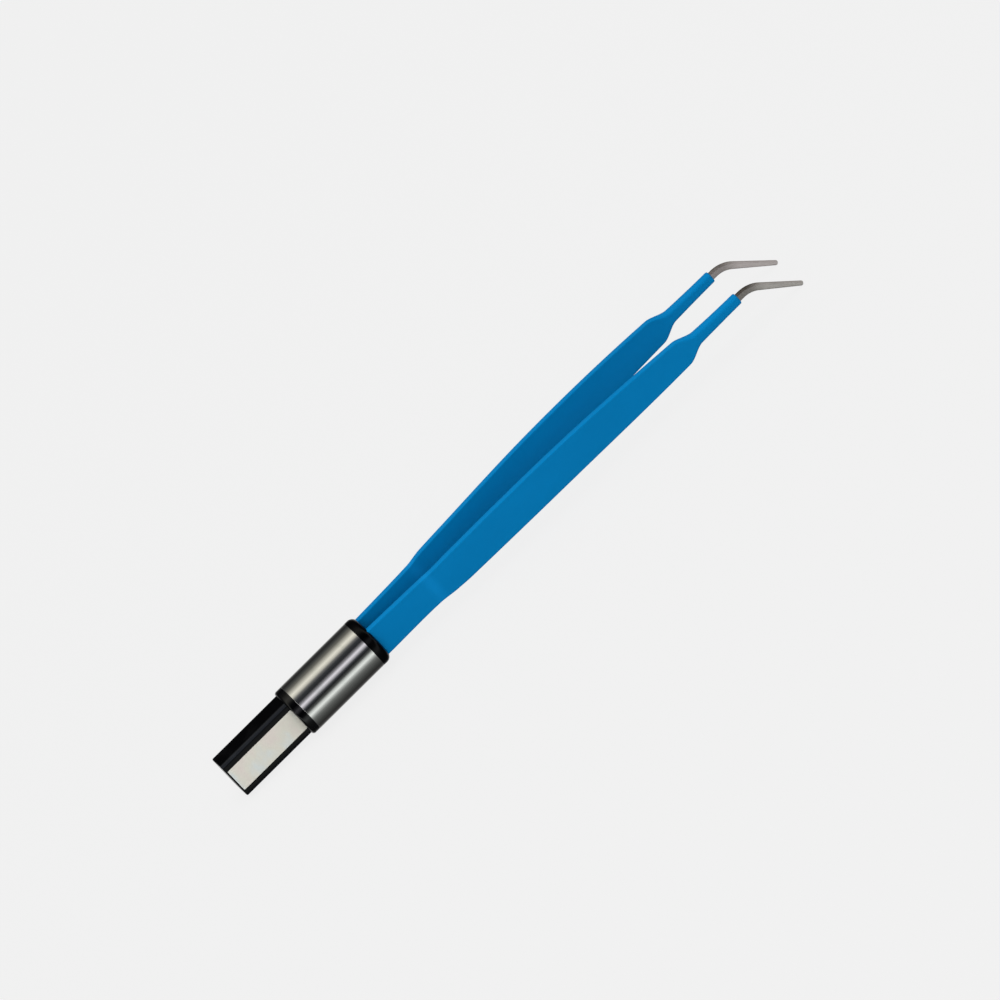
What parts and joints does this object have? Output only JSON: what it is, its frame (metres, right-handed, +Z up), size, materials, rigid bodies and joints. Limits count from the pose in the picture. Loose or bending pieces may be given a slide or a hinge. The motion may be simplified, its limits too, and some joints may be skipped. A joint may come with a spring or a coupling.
{
  "type": "bipolar forceps",
  "caption": "Bipolar forceps: a flat plug and a round sleeve carry insulated spring tines that squeeze together and bring angled bare tips onto tissue.",
  "frame": {"origin": "on the axis of the sleeve, midway along it", "axes": "+X along the instrument to the tips, +Y across the gap between the tines to the left tine, +Z up, away from the bent tips, as the instrument lies on its side"},
  "size_m": [0.1651, 0.017, 0.0154],
  "materials": {
    "tine_steel": "satin, darker near the coat",
    "blue_coat": "smooth satin nylon coat",
    "sleeve_steel": "polished",
    "black_plastic": "glossy",
    "contact_metal": "satin nickel",
    "strip_metal": "plain",
    "insulator": "natural",
    "resin": "cast",
    "seal_rubber": "plain"
  },
  "bodies": {
    "handle": {"steel_sleeve": "sleeve_steel", "front_bushing": "black_plastic", "rear_collar": "black_plastic", "plug_body": "black_plastic", "right_contact": "contact_metal", "left_contact": "contact_metal", "right_strip": "strip_metal", "left_strip": "strip_metal", "strip_spacer": "insulator", "strip_rivet_1": "insulator", "strip_rivet_2": "insulator", "liner_tube": "insulator", "potting": "resin", "front_seal": "seal_rubber", "rear_seal": "seal_rubber"},
    "right_arm": {"right_tine": "tine_steel", "right_coat": "blue_coat"},
    "left_arm": {"left_tine": "tine_steel", "left_coat": "blue_coat"}
  },
  "joints": [
    {"name": "right_flex", "type": "hinge", "parent": "handle", "child": "right_arm", "pos_m": [0.012, -0.0031, 0], "axis": [0, 0, 1], "range_deg": [0, 3.05], "stiffness_Nm_per_rad": 1.6},
    {"name": "left_flex", "type": "hinge", "parent": "handle", "child": "left_arm", "pos_m": [0.012, 0.0031, 0], "axis": [0, 0, -1], "range_deg": [0, 3.05], "stiffness_Nm_per_rad": 1.6}
  ]
}
